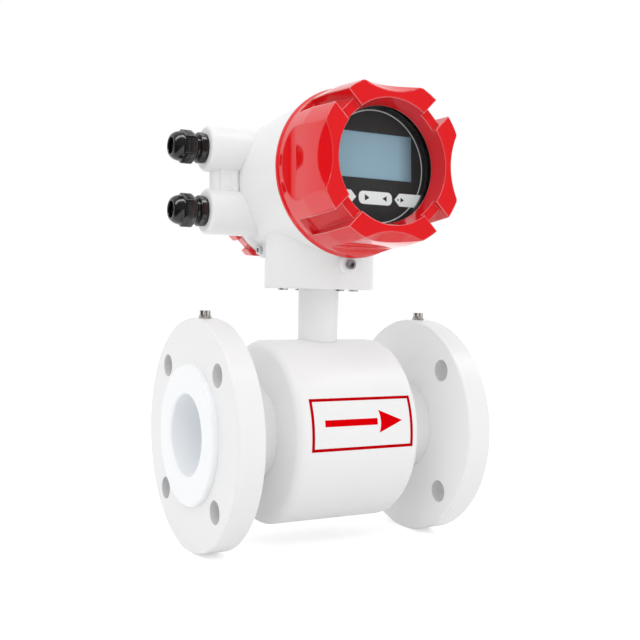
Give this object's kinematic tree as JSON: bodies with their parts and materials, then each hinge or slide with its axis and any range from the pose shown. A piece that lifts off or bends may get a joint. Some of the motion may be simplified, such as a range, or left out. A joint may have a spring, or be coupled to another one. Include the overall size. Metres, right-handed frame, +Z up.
{
  "type": "electromagnetic flow meter",
  "caption": "Flanged electromagnetic flow meter with a lined bore, a round coil housing and a white converter head with red screw covers, display and cable glands.",
  "frame": {"origin": "middle of the flow bore", "axes": "+X along the flow, +Z up through the neck and head, the display looks towards -Y"},
  "size_m": [0.2379, 0.2057, 0.3709],
  "materials": {
    "coating": "white powder coat",
    "red_enamel": "gloss red enamel",
    "lining": "smooth white fluoropolymer",
    "steel": "plain steel",
    "stainless": "bright stainless steel",
    "copper_coil": "enamelled copper winding",
    "brass_screw": "yellow passivated",
    "black_nylon": "satin moulded nylon",
    "black_rubber": "moulded rubber",
    "clear_glass": "clear",
    "black_metal": "black anodised",
    "panel_black": "matt printed plate",
    "screen": "grey-blue liquid crystal",
    "key_white": "white printed pad",
    "board_green": "solder-masked board",
    "insulator": "ivory plastic"
  },
  "bodies": {
    "meter": {"base_gasket": "black_rubber", "base_screw_1": "stainless", "base_screw_2": "stainless", "base_screw_3": "stainless", "base_screw_4": "stainless", "coil_housing": "coating", "converter_housing": "coating", "display_board": "board_green", "display_panel": "panel_black", "front_electrode": "stainless", "front_electrode_bush": "insulator", "front_electrode_nut": "stainless", "front_lock_screw": "stainless", "inlet_earth_screw": "brass_screw", "inlet_earth_washers": "brass_screw", "inlet_flange": "coating", "lcd_module": "screen", "lead_bundle": "black_rubber", "left_key": "key_white", "liner": "lining", "lower_coil": "copper_coil", "lower_gland_body": "black_nylon", "lower_gland_washer": "black_rubber", "lower_pole_piece": "steel", "main_board": "board_green", "measuring_tube": "stainless", "middle_key": "key_white", "neck_flange": "coating", "neck_grommet": "black_rubber", "neck_tube": "coating", "outlet_earth_screw": "brass_screw", "outlet_earth_washers": "brass_screw", "outlet_flange": "coating", "rear_electrode": "stainless", "rear_electrode_bush": "insulator", "rear_electrode_nut": "stainless", "rear_lock_screw": "stainless", "right_key": "key_white", "standoff_1": "stainless", "standoff_2": "stainless", "standoff_3": "stainless", "standoff_4": "stainless", "terminal_block": "insulator", "upper_coil": "copper_coil", "upper_gland_body": "black_nylon", "upper_gland_washer": "black_rubber", "upper_pole_piece": "steel", "yoke_band": "steel"},
    "front_seal_ring": {"front_cover_seal": "black_rubber"},
    "front_screw_cover": {"front_cover": "red_enamel", "window_gasket": "black_rubber", "window_glass": "clear_glass", "window_retainer": "black_metal"},
    "rear_seal_ring": {"rear_cover_seal": "black_rubber"},
    "rear_screw_cover": {"rear_cover": "red_enamel"},
    "upper_cable_seal": {"upper_gland_seal": "black_rubber"},
    "upper_dome_nut": {"upper_gland_nut": "black_nylon"},
    "lower_cable_seal": {"lower_gland_seal": "black_rubber"},
    "lower_dome_nut": {"lower_gland_nut": "black_nylon"}
  },
  "joints": [
    {"name": "front_cover_advance", "type": "slide", "parent": "meter", "child": "front_seal_ring", "axis": [0, -0.9986, 0.0523], "range_m": [0, 0.01901]},
    {"name": "front_cover_turn", "type": "hinge", "parent": "front_seal_ring", "child": "front_screw_cover", "pos_m": [0, 0, 0.208], "axis": [0, -0.9986, 0.0523], "range_deg": [0, 3420]},
    {"name": "rear_cover_advance", "type": "slide", "parent": "meter", "child": "rear_seal_ring", "axis": [0, 0.9986, -0.0523], "range_m": [0, 0.00901]},
    {"name": "rear_cover_turn", "type": "hinge", "parent": "rear_seal_ring", "child": "rear_screw_cover", "pos_m": [0, -0.00027, 0.20281], "axis": [0, 0.9986, -0.0523], "range_deg": [0, 1620]},
    {"name": "upper_nut_advance", "type": "slide", "parent": "meter", "child": "upper_cable_seal", "axis": [-1, 0, 0], "range_m": [0, 0.00901]},
    {"name": "upper_nut_turn", "type": "hinge", "parent": "upper_cable_seal", "child": "upper_dome_nut", "pos_m": [-0.0905, 0.03832, 0.23213], "axis": [-1, 0, 0], "range_deg": [0, 2160]},
    {"name": "lower_nut_advance", "type": "slide", "parent": "meter", "child": "lower_cable_seal", "axis": [-1, 0, 0], "range_m": [0, 0.00901]},
    {"name": "lower_nut_turn", "type": "hinge", "parent": "lower_cable_seal", "child": "lower_dome_nut", "pos_m": [-0.0905, 0.03558, 0.18], "axis": [-1, 0, 0], "range_deg": [0, 2160]}
  ],
  "couplings": [
    {"joint": "front_cover_advance", "follows": "front_cover_turn", "m_per_rad": 0.00031831},
    {"joint": "rear_cover_advance", "follows": "rear_cover_turn", "m_per_rad": 0.00031831},
    {"joint": "upper_nut_advance", "follows": "upper_nut_turn", "m_per_rad": 0.00023873},
    {"joint": "lower_nut_advance", "follows": "lower_nut_turn", "m_per_rad": 0.00023873}
  ]
}
